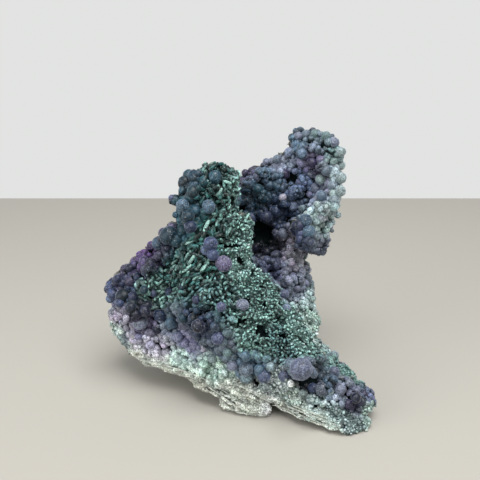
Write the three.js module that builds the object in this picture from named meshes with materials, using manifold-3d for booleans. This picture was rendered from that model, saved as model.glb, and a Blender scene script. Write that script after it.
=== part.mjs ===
// A cabinet specimen of grape agate: botryoidal purple and green chalcedony that grew as one crust.
// It is one solid. The body is a joined set of craggy masses: a tilted plate along the bottom, a shoulder
// on the left, a horn in the middle, and a tall tower at the right behind a deep hollow. Round lumps of
// many sizes are fused all over the grown side, and thin broken layers show along the lower rim.
// Millimetres, +Z up, the grown side facing -Y, the origin at the middle of the footprint.
import * as THREE from "three";
import { ConvexGeometry } from "three/addons/geometries/ConvexGeometry.js";
import { MeshSurfaceSampler } from "three/addons/math/MeshSurfaceSampler.js";
import { mergeVertices } from "three/addons/utils/BufferGeometryUtils.js";
import Module from "manifold-3d";

const wasm = await Module();
wasm.setup();

// Driving dimensions
const TABLE_Z = 0; // the surface that the specimen rests on, where its feet are cut flat
const GRAPE_RADIUS = { least: 2.2, most: 4.2 };
const GRAPE_COUNT = 107;
const MOST_THROWS = 20000;
const ROUNDER_FROM = 3.75; // grapes of this radius or more have 80 faces, and smaller ones 20
const BACK_GRAPE_SHARE = 0.12; // grapes are sparse on the matrix side
const GRAPE_SPACING = 0.86; // of the sum of two radii: neighbours just bite into each other
const GRAPE_STAND_OUT = 0.25; // of a radius: how far a grape's centre is lifted off the body
const CLEAR_OF_TABLE = 4.5; // no small grape is centred lower than this
const UNDERSIDE_NORMAL_Z = -0.3; // a face that looks further down than this is bare matrix
const BACK_NORMAL_Y = 0.35; // a face that looks further back than this is on the matrix side
const SMALL_GRAPE_BIAS = 1.6; // above 1 there are more small grapes than large ones
const LEDGE_THICKNESS = 2.2;
const TABLE_CUT = { side: 200, depth: 40 };
const MERGE_WITHIN = 1e-3;
const SEED = 20;

// Each mass is the hull of a few knobs, given as x, y, z and radius.
const MASSES = {
  plate: [
    [-48.5, 5, 30, 5],
    [-49.5, 4, 23, 4.5],
    [-43.5, 0, 15.5, 4],
    [-34.5, -7, 13, 4],
    [-25.5, -10, 11.5, 4],
    [-20, -10, 15, 5],
    [6, -22, 11, 6],
    [32, -33, 9, 6],
    [43, -26, 9, 5],
    [-36, 18, 24, 6],
    [-14, 24, 12, 7],
    [16, 24, 12, 7],
    [31, 2, 10, 6],
  ],
  shoulder: [
    [-49.5, 4, 37.5, 5],
    [-40, 4, 46, 5.5],
    [-34.5, 7, 52.5, 4],
    [-40, -2, 30, 6.5],
    [-22, 2, 38, 9],
    [-30, 14, 36, 7],
  ],
  armpit: [
    [-24, 1, 58, 6],
    [-30, 5, 50, 6],
    [-18, 0, 52, 8],
    [-14, 3, 66, 6],
  ],
  horn: [
    [-11, 3, 84.5, 5.5],
    [-3.6, 5, 83.5, 4],
    [-18.5, 1, 81.5, 4.5],
    [-16, 1, 77, 5.5],
    [-21.5, -1, 74, 3],
    [-15, -3, 66, 7],
    [-9, 2, 63, 7.5],
    [-9, 11, 68, 6.5],
    [-13, -6, 54, 10],
  ],
  crest: [
    [-4, -3, 68, 3],
    [3.2, -2, 70, 2],
    [1.4, -5, 63, 3.4],
    [1.8, -6, 55, 4],
    [-8, -5, 56, 8],
  ],
  slope: [
    [-14, -8, 50, 11],
    [-2, -4, 46, 12],
    [-16, -14, 36, 10],
    [0, -20, 28, 11],
    [14, -12, 32, 9],
    [22, -18, 24, 7],
    [22, -27, 17, 8],
    [-2, 8, 40, 10],
  ],
  towerWall: [
    [3, 25, 75, 5],
    [19, 28, 83, 5.5],
    [32, 26, 88, 5.5],
    [35, 21, 76, 6],
    [31, 21, 52, 6],
    [12, 28, 48, 7],
    [-2, 26, 54, 6],
  ],
  towerHead: [
    [23.5, 24, 94, 4.5],
    [34.5, 21, 93.5, 4.5],
    [37.5, 17, 88, 4],
    [36.5, 15, 84, 4],
    [22, 27, 84, 5],
    [30, 27, 78, 6],
  ],
  towerEdge: [
    [37.5, 12, 80, 3.5],
    [33.5, 9, 70, 4.5],
    [30.5, 9, 54, 5],
    [27, 9, 62, 6],
    [32, 20, 66, 7],
    [30, 18, 54, 5],
  ],
  towerFoot: [
    [22, 13, 45, 6.5],
    [22, 5, 35, 6.5],
    [14, 18, 36, 8],
    [24, 14, 26, 7],
    [26, -4, 22, 6],
    [-4, 22, 34, 8],
    [10, 24, 18, 8],
  ],
  backWall: [
    [4, 27, 68, 5],
    [26, 28, 64, 6],
    [21, 26, 42, 7],
    [-14, 22, 52, 6],
    [-32, 17, 34, 6],
    [20, 25, 20, 7],
    [-16, 24, 16, 7],
  ],
  tail: [
    [23, -18, 22, 6],
    [30, -13, 16.5, 5],
    [41.5, -24, 8.5, 4.5],
    [47.5, -28.5, 7, 4],
    [38, -34, 7, 5],
    [30, -26, 14, 7],
  ],
};

// The feet are set low enough for the table plane to cut them flat.
const FEET = {
  frontLedge: [
    [-4, -24, 3.5, 4],
    [9, -27.5, 1.8, 3],
    [2, -14, 6, 6],
  ],
  rightCorner: [
    [34, -34, 3.2, 4.5],
    [39.5, -38, 2.5, 4],
    [44, -34.5, 3.5, 4.2],
    [32, -24, 8, 5],
  ],
  back: [
    [-12, 24, 5, 7],
    [16, 25, 5, 7],
    [2, 16, 9, 6],
  ],
};

// Broken layers of the crust along the lower rim, as outlines seen from above, each with the height of its
// left and right ends. They overlap the plate and stand out past its front edge.
const LEDGES = [
  {
    outline: [[-22, -14], [-16, -21.5], [-4, -28], [8, -32], [12.5, -29], [4, -18], [-12, -8]],
    left: 9.5,
    right: 2.2,
  },
  {
    outline: [[-34, -5], [-24, -14], [-8, -23], [8, -29], [16, -31], [12, -18], [-14, -4]],
    left: 13.5,
    right: 5.6,
  },
  {
    outline: [[12, -24], [18, -32.5], [28, -38], [38, -42.5], [42, -38], [36, -28], [22, -18]],
    left: 5.2,
    right: 1.8,
  },
];

// The large single grapes and knots of grapes that mark this specimen: x, y, z, radius. Each one is slid
// along the line of sight from the viewpoint until it sits on the body. One on the outline, past which the
// sight runs, stays at its place and bites into the body from the side.
const VIEWPOINT = new THREE.Vector3(0, -266, 156);
const LANDMARK_STAND_OUT = 0.3; // of a radius
const RIM_POINTS = 8; // of a grape, tested against the outline
const OUTLINE_STEP = 9; // where the body falls back further than this behind a grape, it has an outline
const LANDMARK_GRAPES = [
  [-27.5, -3, 61.5, 3.9],
  [-25, -5, 65, 4.2],
  [-30.5, -1, 58.5, 3.2],
  [-25.5, -1.5, 76, 2.2],
  [-20.8, -3.5, 74.5, 3.2],
  [-11.8, -8.5, 73.5, 3],
  [-19.5, -4, 68, 3.4],
  [-17.5, -4.5, 81, 3.4],
  [-8.8, -5, 81.5, 3],
  [-10.5, -15.5, 62.5, 3.2],
  [-9, -16.5, 58, 3.2],
  [-5, -18, 55.5, 3.4],
  [-6.5, -29.5, 44, 2.9],
  [0, -29.5, 44.5, 3.2],
  [22, -33, 23.5, 4.6],
  [32, -33.5, 16, 4],
  [37, -31, 15, 3.6],
  [30, -24, 21.5, 3.4],
  [41.5, -25, 12.5, 3],
  [23, -1, 66, 4.6],
  [26, -1, 60, 4.8],
  [15, 4, 62, 3.8],
  [19, 1, 57, 3.8],
  [11, 1.5, 48.5, 4.2],
  [18, -1, 42, 4.6],
  [-41, -7, 33.5, 4.6],
  [-30, -13, 32, 3.6],
  [-46.5, -2, 36, 3.2],
  [-36, 0, 49, 4.2],
];

function mulberry(seed) {
  let state = seed;
  return () => {
    state = (state + 0x6d2b79f5) | 0;
    let t = Math.imul(state ^ (state >>> 15), 1 | state);
    t = (t + Math.imul(t ^ (t >>> 7), 61 | t)) ^ t;
    return ((t ^ (t >>> 14)) >>> 0) / 4294967296;
  };
}
const random = mulberry(SEED);

function solid(geometry) {
  const bare = geometry.clone();
  bare.deleteAttribute("normal");
  bare.deleteAttribute("uv");
  const merged = mergeVertices(bare, MERGE_WITHIN);
  return new wasm.Manifold(
    new wasm.Mesh({
      numProp: 3,
      vertProperties: merged.attributes.position.array,
      triVerts: new Uint32Array(merged.index.array),
    }),
  );
}

function geometryOf(made) {
  const mesh = made.getMesh();
  return new THREE.BufferGeometry()
    .setAttribute("position", new THREE.BufferAttribute(Float32Array.from(mesh.vertProperties), 3))
    .setIndex(new THREE.BufferAttribute(Uint32Array.from(mesh.triVerts), 1));
}

// The hull of a set of knobs, each turned its own way so that its corners don't line up with the next.
function mass(knobs) {
  const points = [];
  for (const [x, y, z, radius] of knobs) {
    const knob = new THREE.IcosahedronGeometry(radius, 0);
    knob.rotateX(random() * Math.PI);
    knob.rotateZ(random() * Math.PI);
    knob.translate(x, y, z);
    const corner = knob.attributes.position;
    for (let i = 0; i < corner.count; i++) points.push(new THREE.Vector3().fromBufferAttribute(corner, i));
  }
  return solid(new ConvexGeometry(points));
}

// A thin broken layer: its outline from above, extruded, then tilted to follow the rim.
function ledge({ outline, left, right }) {
  const corners = outline.map(([x, y]) => new THREE.Vector2(x, y));
  const shape = new THREE.Shape(corners);
  const layer = new THREE.ExtrudeGeometry(shape, { depth: LEDGE_THICKNESS, bevelEnabled: false });
  const xs = outline.map(([x]) => x);
  const leftX = Math.min(...xs);
  const slope = (right - left) / (Math.max(...xs) - leftX);
  const place = layer.attributes.position;
  for (let i = 0; i < place.count; i++) {
    const lift = left + slope * (place.getX(i) - leftX);
    place.setZ(i, place.getZ(i) + lift - LEDGE_THICKNESS / 2);
  }
  return solid(layer);
}

function grape({ at, radius }) {
  const ball = new THREE.IcosahedronGeometry(radius, radius < ROUNDER_FROM ? 0 : 1);
  ball.rotateX(random() * Math.PI);
  ball.rotateZ(random() * Math.PI);
  ball.translate(at.x, at.y, at.z);
  return solid(ball);
}

function landmarkGrapes(surface) {
  const eye = new THREE.Raycaster();
  return LANDMARK_GRAPES.map(([x, y, z, radius]) => {
    const at = new THREE.Vector3(x, y, z);
    const sight = at.clone().sub(VIEWPOINT).normalize();
    eye.set(VIEWPOINT, sight);
    const [hit] = eye.intersectObject(surface);
    if (hit) at.copy(hit.point).addScaledVector(sight, -LANDMARK_STAND_OUT * radius);
    return { at, radius };
  });
}

// Whether all of a grape is seen close against the body, so that it leaves every outline from the
// viewpoint alone.
function insideOutline(surface, at, radius) {
  const sight = at.clone().sub(VIEWPOINT).normalize();
  const across = new THREE.Vector3(0, 0, 1).cross(sight).normalize();
  const up = new THREE.Vector3().crossVectors(sight, across);
  const eye = new THREE.Raycaster();
  const reach = at.distanceTo(VIEWPOINT) + OUTLINE_STEP;
  for (let i = 0; i < RIM_POINTS; i++) {
    const angle = (2 * Math.PI * i) / RIM_POINTS;
    const rim = at.clone().addScaledVector(across, radius * Math.cos(angle));
    rim.addScaledVector(up, radius * Math.sin(angle));
    eye.set(VIEWPOINT, rim.sub(VIEWPOINT).normalize());
    const [hit] = eye.intersectObject(surface);
    if (!hit || hit.distance > reach) return false;
  }
  return true;
}

// Scatters grapes over the grown side by darts: a dart too near an earlier grape is thrown again.
function scatteredGrapes(surface, landmarks) {
  const sampler = new MeshSurfaceSampler(surface).setRandomGenerator(random).build();
  const spot = new THREE.Vector3();
  const normal = new THREE.Vector3();
  const placed = [...landmarks];
  for (let throws = 0; throws < MOST_THROWS && placed.length < landmarks.length + GRAPE_COUNT; throws++) {
    sampler.sample(spot, normal);
    const radius = THREE.MathUtils.lerp(GRAPE_RADIUS.least, GRAPE_RADIUS.most, random() ** SMALL_GRAPE_BIAS);
    const keep = random();
    if (normal.z < UNDERSIDE_NORMAL_Z || spot.z < CLEAR_OF_TABLE) continue;
    if (normal.y > BACK_NORMAL_Y && keep > BACK_GRAPE_SHARE) continue;
    const at = spot.clone().addScaledVector(normal, radius * GRAPE_STAND_OUT);
    const crowded = placed.some((other) => other.at.distanceTo(at) < GRAPE_SPACING * (other.radius + radius));
    if (!crowded && insideOutline(surface, at, radius)) placed.push({ at, radius });
  }
  return placed.slice(landmarks.length);
}

let body = null;
for (const knobs of [...Object.values(MASSES), ...Object.values(FEET)]) {
  const next = mass(knobs);
  body = body ? body.add(next) : next;
}
for (const layer of LEDGES) body = body.add(ledge(layer));

const surface = new THREE.Mesh(geometryOf(body), new THREE.MeshBasicMaterial({ side: THREE.DoubleSide }));
const landmarks = landmarkGrapes(surface);
const grapes = [...scatteredGrapes(surface, landmarks), ...landmarks];
const specimen = grapes.reduce((joined, each) => joined.add(grape(each)), body);

// The table plane cuts the feet flat.
const belowTable = new THREE.BoxGeometry(TABLE_CUT.side, TABLE_CUT.side, TABLE_CUT.depth);
belowTable.translate(0, 0, TABLE_Z - TABLE_CUT.depth / 2);
const standing = specimen.subtract(solid(belowTable));

// Masses can close in a small space where they meet. Only the outer shell is kept, so the stone is whole.
const shells = standing.decompose();
const outerShell = shells.reduce((largest, each) => (each.volume() > largest.volume() ? each : largest));

const shape = geometryOf(outerShell);
shape.computeBoundingBox();
const middle = shape.boundingBox.getCenter(new THREE.Vector3());
shape.translate(-middle.x, -middle.y, -TABLE_Z);

const chalcedony = new THREE.MeshStandardMaterial({ color: 0x5f6a80, roughness: 0.45, metalness: 0 });
const mesh = new THREE.Mesh(shape, chalcedony);
mesh.name = "grape_agate";

const specimenGroup = new THREE.Group();
specimenGroup.add(mesh);
export default specimenGroup;
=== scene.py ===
# %% [markdown]
# # A grape agate
#
# A grape agate is chalcedony that grew as thousands of small balls, packed like grapes, in purple, slate
# and sea green. This lesson dresses the plain faceted solid of one such specimen: a rough crust is
# remeshed from the solid, and then balls, sprigs and crystals are grown all over it. Every length is in
# metres, so sizes that are easier to think of in millimetres are multiplied by `MM`.

# %% Load the fixed frame
import math

import bpy
import numpy as np
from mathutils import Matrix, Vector, noise
from mathutils.bvhtree import BVHTree


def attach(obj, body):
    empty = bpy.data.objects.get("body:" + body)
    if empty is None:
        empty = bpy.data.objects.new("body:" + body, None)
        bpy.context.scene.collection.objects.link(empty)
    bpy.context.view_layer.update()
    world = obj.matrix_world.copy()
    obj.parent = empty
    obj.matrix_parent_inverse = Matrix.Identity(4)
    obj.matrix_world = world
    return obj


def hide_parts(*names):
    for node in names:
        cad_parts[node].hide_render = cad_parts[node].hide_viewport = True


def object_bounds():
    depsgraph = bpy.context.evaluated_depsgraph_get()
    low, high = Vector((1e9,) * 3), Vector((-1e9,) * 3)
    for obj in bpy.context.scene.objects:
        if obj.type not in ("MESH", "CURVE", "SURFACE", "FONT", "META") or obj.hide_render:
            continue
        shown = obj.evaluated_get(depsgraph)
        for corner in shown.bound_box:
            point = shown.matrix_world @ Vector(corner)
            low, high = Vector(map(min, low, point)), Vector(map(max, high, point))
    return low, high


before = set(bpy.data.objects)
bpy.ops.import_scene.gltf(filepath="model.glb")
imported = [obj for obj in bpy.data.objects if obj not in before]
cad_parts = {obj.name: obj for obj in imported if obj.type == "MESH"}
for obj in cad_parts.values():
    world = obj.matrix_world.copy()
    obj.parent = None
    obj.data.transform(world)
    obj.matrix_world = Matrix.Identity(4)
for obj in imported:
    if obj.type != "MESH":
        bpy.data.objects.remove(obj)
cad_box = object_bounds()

MM = 0.001
NODE = "grape_agate"
SEED = 41
random = np.random.default_rng(SEED)
print("solid box in mm:", [[round(side / MM, 1) for side in corner] for corner in cad_box])

# %% [markdown]
# ## The camera first
#
# The photograph looks down at the specimen by 20 degrees from about 30 centimetres away. The camera comes
# first because many of the single grapes are placed by where the photograph shows them: a pixel gives a
# line of sight, and the place where that line meets the stone is where the grape sits.

# %% Camera
IMAGE = 480
CAMERA_AT = Vector((0.00176, -0.26294, 0.1564))
LOOKS_DOWN = math.radians(20)
LENS = 55.38
SENSOR = 36
CLIP_START = 10 * MM

bpy.ops.object.camera_add(location=CAMERA_AT, rotation=(math.radians(90) - LOOKS_DOWN, 0, 0))
camera = bpy.context.object
camera.name = "camera"
camera.data.lens = LENS
camera.data.sensor_width = SENSOR
camera.data.clip_start = CLIP_START
bpy.context.scene.camera = camera

HALF_VIEW = SENSOR / 2 / LENS
AHEAD = Vector((0, math.cos(LOOKS_DOWN), -math.sin(LOOKS_DOWN)))
UPWARD = Vector((0, math.sin(LOOKS_DOWN), math.cos(LOOKS_DOWN)))


def sight(pixel):
    """The direction in which the camera sees a pixel of the 480 by 480 photograph."""
    across = (pixel[0] - IMAGE / 2) / (IMAGE / 2) * HALF_VIEW
    up = (IMAGE / 2 - pixel[1]) / (IMAGE / 2) * HALF_VIEW
    return (AHEAD + Vector((across, 0, 0)) + UPWARD * up).normalized()


def pixels_to_length(pixels, at):
    """What a number of pixels measures at a point, in metres."""
    return pixels * (at - CAMERA_AT).dot(AHEAD) * HALF_VIEW / (IMAGE / 2)


solid_middle = (Vector(cad_box[0]) + Vector(cad_box[1])) / 2
print("a pixel at the middle of the solid in mm:", round(pixels_to_length(1, solid_middle) / MM, 2))

# %% [markdown]
# ## A few habits
#
# Operators act on all that is selected, so each step begins with nothing selected but the piece in hand.
# A finished piece has its place in its mesh, rides on the one body, and stands for the plain solid.

# %% Select, add, edit and finish
def take(piece):
    bpy.ops.object.select_all(action="DESELECT")
    piece.select_set(True)
    bpy.context.view_layer.objects.active = piece
    return piece


def add_object(name, mesh):
    piece = bpy.data.objects.new(name, mesh)
    bpy.context.scene.collection.objects.link(piece)
    return piece


def start_from(primitive, name, **settings):
    """Adds a primitive while nothing else is selected."""
    bpy.ops.object.select_all(action="DESELECT")
    primitive(**settings)
    piece = bpy.context.object
    piece.name = name
    return piece


def add_modifier(piece, kind, **settings):
    modifier = piece.modifiers.new(kind.lower(), kind)
    for name, value in settings.items():
        setattr(modifier, name, value)
    take(piece)
    bpy.ops.object.modifier_apply(modifier=modifier.name)


def in_edit_mode(piece):
    take(piece)
    bpy.ops.object.mode_set(mode="EDIT")
    bpy.ops.mesh.select_all(action="SELECT")


def out_of_edit_mode():
    bpy.ops.object.mode_set(mode="OBJECT")


def finish_piece(piece, material):
    piece.data.materials.clear()
    piece.data.materials.append(material)
    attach(piece, "root")
    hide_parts(NODE)
    print(piece.name, len(piece.data.polygons), "faces")


# %% [markdown]
# ## Numbers for many points
#
# The crust has tens of thousands of points, so its shape and colour are worked out for all of them at
# once. Smooth noise gives hills and clouds. A share from 0 to 1 says how much of each thing a point has.

# %% Points, noise and shares
SEED_STEPS = (7.31, 3.17, 5.03)


def points_of(mesh, field="co"):
    """The places of a mesh's points, or their normals."""
    values = np.empty(len(mesh.vertices) * 3)
    mesh.vertices.foreach_get(field, values)
    return values.reshape(-1, 3)


def move_to(mesh, places):
    mesh.vertices.foreach_set("co", np.asarray(places, np.float32).ravel())
    mesh.update()


def waves(places, size, seed):
    """A smooth noise from -1 to 1 at each place, with lumps of about the given size."""
    offset = Vector([seed * step for step in SEED_STEPS])
    return np.array([noise.noise(Vector(place) / size + offset) for place in places])


def cloud(places, size, seed, contrast=0.9):
    """The same noise as a share from 0 to 1."""
    return np.clip(0.5 + contrast * waves(places, size, seed), 0, 1)


def climb(values, start, width):
    """A share that climbs from 0 to 1 while the values climb by a width from a start."""
    return np.clip((values - start) / width, 0, 1)


def mix(first, second, share):
    return first * (1 - share) + second * share


def unit(vectors):
    """The same directions with a length of 1."""
    return vectors / np.linalg.norm(vectors, axis=1, keepdims=True)


# %% [markdown]
# ## The crust
#
# Under the grapes lies a rough crust of the same stone. A copy of the faceted solid is merged, remeshed
# into small even squares and smoothed, so that its facets are gone. It is the ground that everything else
# grows on, and it shows by itself where the stone is broken.

# %% Copy and remesh the solid
WELD = 0.01 * MM
VOXEL = 0.74 * MM

crust = add_object("crust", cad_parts[NODE].data.copy())
in_edit_mode(crust)
bpy.ops.mesh.remove_doubles(threshold=WELD)
out_of_edit_mode()
add_modifier(crust, "REMESH", mode="VOXEL", voxel_size=VOXEL)
add_modifier(crust, "SMOOTH", factor=0.6, iterations=14)
print("crust:", len(crust.data.vertices), "points")


# %% A tree that finds places on the crust
def tree_of(piece):
    return BVHTree.FromPolygons(
        [vertex.co for vertex in piece.data.vertices],
        [polygon.vertices for polygon in piece.data.polygons],
    )


smooth_tree = tree_of(crust)
SEARCHED = np.arange(200 * MM, 400 * MM, 2 * MM)


def seat(tree, pixel):
    """Where the line of sight of a pixel meets a surface, or comes nearest to it, with the normal there."""
    direction = sight(pixel)
    place, normal, _, _ = tree.ray_cast(CAMERA_AT, direction)
    if place is not None:
        return place, normal
    found = [tree.find_nearest(CAMERA_AT + direction * far) for far in SEARCHED]
    place, normal, _, _ = min(found, key=lambda each: each[3])
    return place, normal


# %% [markdown]
# ## What grows where
#
# The stone changes from patch to patch: violet on the shoulder, sea green sprigs over the horn, slate and
# lavender grapes on the tower, pale mint towards every broken edge. Each patch is named here once, with
# the place where the photograph shows it, what grows there, its colour and the size of its grapes. A point
# anywhere on the stone belongs to the patches nearest to it.

# %% Colours of the stone
COLOURS = {
    "black_indigo": (12, 14, 24), "ink": (22, 26, 42), "deep_teal": (10, 30, 32),
    "dark_green": (26, 66, 64), "blue_black": (20, 42, 54), "navy": (28, 40, 62),
    "dark_purple": (42, 38, 62), "deep_violet": (56, 40, 78), "violet": (68, 46, 92),
    "deep_indigo": (38, 44, 66), "blue_teal": (34, 62, 74), "deep_green": (32, 68, 68),
    "plum": (50, 48, 68), "indigo": (50, 60, 86), "storm": (52, 70, 86), "mauve": (80, 76, 100),
    "grey_slate": (80, 86, 104), "slate_purple": (66, 72, 96), "slate": (74, 88, 112),
    "blue_slate": (62, 82, 98), "teal": (40, 82, 80), "sea_green": (48, 96, 94),
    "soft_teal": (78, 112, 112), "dusk": (82, 94, 106), "sage": (86, 106, 108),
    "mauve_grey": (98, 104, 120), "lavender": (116, 116, 144), "blue_lavender": (104, 116, 138),
    "mint": (104, 138, 132), "mist": (116, 130, 132), "ash_lavender": (148, 146, 160),
    "pale_sage": (132, 150, 150), "pink_lavender": (166, 156, 182), "light_mint": (134, 172, 164),
    "frosted_mint": (154, 176, 168), "pale_grey": (156, 166, 166), "pale_mint": (184, 200, 193),
    "stone": (158, 160, 150), "off_white": (210, 216, 206), "white": (236, 240, 240),
    "matrix_grey": (130, 136, 126), "matrix_brown": (112, 96, 76),
}


def linear(colour):
    """Screen colour from 0 to 255 as the light that it stands for."""
    share = np.array(colour) / 255
    return np.where(share <= 0.04045, share / 12.92, ((share + 0.055) / 1.055) ** 2.4)


PALETTE = {name: linear(colour) for name, colour in COLOURS.items()}
print(len(PALETTE), "colours")

# %% The patches that the photograph shows
# The near-black hollow and tail_gap patches are painted shade: the darkness of those deep places is given
# as colour.
SEEN_PATCHES = {
    "fused": [
        ("tower_crown_left", (296, 145), "blue_slate", 1.3), ("tower_crown", (318, 137), "dusk", 1.2),
        ("tower_crown_right", (336, 150), "sage", 1.2), ("tower_violet", (310, 162), "mauve", 1.2),
        ("tower_edge", (342, 178), "mist", 1.6), ("tower_edge_low", (337, 200), "mist", 1.6),
        ("tower_right", (325, 188), "mauve_grey", 1.5), ("tower_centre", (298, 185), "slate", 1.2),
        ("tower_left_wall", (262, 178), "blue_slate", 1.15), ("tower_saddle", (249, 167), "plum", 1.2),
        ("tower_step", (284, 156), "mauve_grey", 1.2), ("tower_blue", (264, 194), "blue_black", 1.15),
        ("tower_dark", (276, 210), "navy", 1.3), ("hollow", (262, 236), "black_indigo", 1.3),
        ("hollow_low", (268, 262), "slate_purple", 1.4), ("bulge", (304, 230), "deep_indigo", 1.4),
        ("bulge_right", (320, 222), "pale_sage", 1.2), ("bulge_low", (296, 252), "ash_lavender", 1.4),
        ("tower_low_edge", (326, 250), "mauve_grey", 1.0), ("waist", (300, 284), "mauve_grey", 1.3),
        ("waist_edge", (314, 300), "pale_sage", 1.1), ("horn_crown_left", (192, 176), "blue_black", 1.7),
        ("horn_left", (182, 203), "blue_teal", 1.7), ("horn_left_low", (182, 222), "blue_teal", 1.8),
        ("violet_cap", (147, 252), "violet", 1.4), ("violet_left", (138, 252), "violet", 1.3),
        ("violet_right", (154, 258), "plum", 1.3), ("violet_low", (137, 261), "deep_violet", 1.4),
        ("shoulder_top", (128, 268), "dark_purple", 1.4),
        ("shoulder_ridge", (118, 277), "dark_purple", 1.4), ("shoulder_mid", (124, 284), "navy", 1.9),
        ("shoulder_edge", (107, 296), "indigo", 1.6), ("left_low", (156, 346), "ash_lavender", 1.2),
        ("skirt_mint", (178, 362), "frosted_mint", 1.3), ("skirt_blue", (250, 366), "blue_slate", 1.9),
        ("skirt_mint_right", (214, 374), "frosted_mint", 1.3), ("tail_top_edge", (342, 360), "dusk", 1.2),
        ("tail_dark", (362, 402), "ink", 1.1), ("tail_dark_low", (356, 406), "dark_purple", 1.1),
        ("tail_gap", (309, 381), "black_indigo", 0.9), ("tail_tip", (374, 398), "slate_purple", 1.0),
        ("tail_haze", (318, 400), "pale_sage", 1.0),
    ],
    "sprigs": [
        ("horn_crown", (214, 167), "dark_green", 1.15), ("horn_edge", (238, 186), "mint", 0.9),
        ("horn_face", (213, 192), "dark_green", 1.2), ("horn_low", (206, 236), "teal", 1.15),
        ("crest_top", (236, 213), "mint", 0.7), ("crest_mid", (238, 262), "light_mint", 0.58),
        ("crest_low", (258, 290), "mint", 0.56), ("slope_left", (168, 272), "teal", 1.0),
        ("slope_mid", (200, 266), "dark_green", 1.05), ("slope_low_left", (152, 292), "mint", 0.85),
        ("slope_centre", (214, 294), "soft_teal", 0.8), ("slope_right", (262, 318), "mint", 0.62),
        ("slope_navy", (284, 340), "soft_teal", 0.6), ("slope_green", (300, 332), "light_mint", 0.6),
        ("slope_foot", (250, 345), "mint", 0.68),
    ],
    "grapes": [
        ("shoulder_right", (141, 306), "ink", 1.9), ("left_pale", (118, 318), "ash_lavender", 1.15),
        ("left_pale_low", (130, 336), "ash_lavender", 1.15), ("left_cluster", (141, 322), "mauve", 1.4),
        ("skirt_slate", (171, 320), "dusk", 1.8), ("skirt_dark", (196, 326), "navy", 1.6),
        ("skirt_lavender", (188, 344), "lavender", 1.6), ("skirt_middle", (224, 350), "dusk", 1.7),
        ("tail_slate", (302, 370), "dusk", 1.7), ("tail_middle", (328, 386), "storm", 1.8),
        ("tail_violet", (348, 398), "mauve_grey", 1.3),
    ],
    "druse": [
        ("left_edge", (108, 326), "pale_mint", 1.0), ("skirt_low_right", (274, 384), "pale_grey", 1.2),
        ("rim_middle", (290, 400), "pale_mint", 1.0), ("slope_edge_top", (315, 318), "frosted_mint", 1.0),
        ("slope_edge", (325, 342), "pale_sage", 1.0), ("tail_edge", (352, 373), "mint", 1.0),
        ("tail_low", (338, 414), "pale_sage", 1.0), ("tail_right", (370, 412), "frosted_mint", 1.0),
        ("tail_corner", (352, 424), "pale_sage", 1.0),
    ],
    "broken": [
        ("broken_left_1", (118, 347), "pale_sage", 1.0), ("broken_left_2", (140, 359), "off_white", 1.0),
        ("broken_left_3", (162, 369), "off_white", 1.0), ("broken_left_4", (184, 379), "off_white", 1.0),
        ("broken_left_5", (205, 389), "stone", 1.0), ("ledge_left", (223, 396), "off_white", 1.0),
        ("ledge_middle", (239, 405), "off_white", 1.0), ("ledge_right", (257, 409), "off_white", 1.0),
        ("ledge_end", (268, 411), "white", 1.0), ("broken_right_1", (284, 409), "off_white", 1.0),
        ("broken_right_2", (300, 417), "pale_mint", 1.0),
        ("broken_right_3", (318, 425), "pale_mint", 1.0),
        ("broken_right_4", (334, 431), "pale_mint", 1.0),
    ],
}

# %% The patches that the photograph doesn't show
HIDDEN_PATCHES = {
    "fused": [
        ("tower_back", (18, 38, 78), "dusk", 1.7), ("tower_back_right", (38, 30, 70), "pale_sage", 1.5),
        ("tower_back_low", (20, 38, 45), "sage", 1.6), ("back_middle", (-6, 34, 50), "slate", 1.7),
        ("back_left", (-34, 26, 34), "sage", 1.6), ("back_foot", (0, 36, 14), "mist", 1.5),
        ("horn_back", (-6, 18, 76), "blue_slate", 1.7), ("horn_back_low", (-6, 18, 62), "blue_teal", 1.7),
        ("bay_floor", (12, 12, 50), "deep_indigo", 1.4), ("right_flank", (34, 14, 30), "sage", 1.4),
        ("right_flank_low", (44, 0, 14), "pale_sage", 1.3), ("left_end", (-50, 12, 30), "lavender", 1.5),
    ],
}

# %% Find each patch's place on the stone
GROWTHS = ("grapes", "fused", "sprigs", "druse", "broken")


def find_patches(table, locate):
    """Each patch's place on the stone, what grows there, its colour and the size of its grapes."""
    return [
        (locate(place), [growth == each for each in GROWTHS], PALETTE[colour], size)
        for growth, patches in table.items()
        for name, place, colour, size in patches
    ]


seen = find_patches(SEEN_PATCHES, lambda pixel: seat(smooth_tree, pixel)[0])
hidden = find_patches(HIDDEN_PATCHES, lambda place: smooth_tree.find_nearest(Vector(place) * MM)[0])
patch_at, patch_growth, patch_colour, patch_size = (
    np.array(values, float) for values in zip(*seen, *hidden)
)
print({growth: int(number) for growth, number in zip(GROWTHS, patch_growth.sum(axis=0))})

# %% Ask the patches about any point
WANDER = 1.8 * MM
WANDER_SIZE = 6 * MM
SHARPNESS = 6
SOFTEST = 0.3 * MM
NEAREST = 5


def patch_shares(places):
    """The nearest patches of each place, and the share that each of them has in it."""
    drift = np.column_stack([waves(places, WANDER_SIZE, 11 + axis) for axis in range(3)])
    asked = places + WANDER * drift
    away = np.sqrt(np.maximum(
        (asked**2).sum(axis=1)[:, None] + (patch_at**2).sum(axis=1)[None, :] - 2 * asked @ patch_at.T, 0
    ))
    near = np.argsort(away, axis=1)[:, :NEAREST]
    share = 1 / (np.take_along_axis(away, near, axis=1) + SOFTEST) ** SHARPNESS
    return near, share / share.sum(axis=1, keepdims=True)


def nature_of(places):
    """Colour, grape size and the share of each growth at a set of places."""
    near, share = patch_shares(places)
    colour = (patch_colour[near] * share[:, :, None]).sum(axis=1)
    size = (patch_size[near] * share).sum(axis=1)
    growths = (patch_growth[near] * share[:, :, None]).sum(axis=1)
    return {"colour": colour, "size": size, **dict(zip(GROWTHS, growths.T))}


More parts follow.
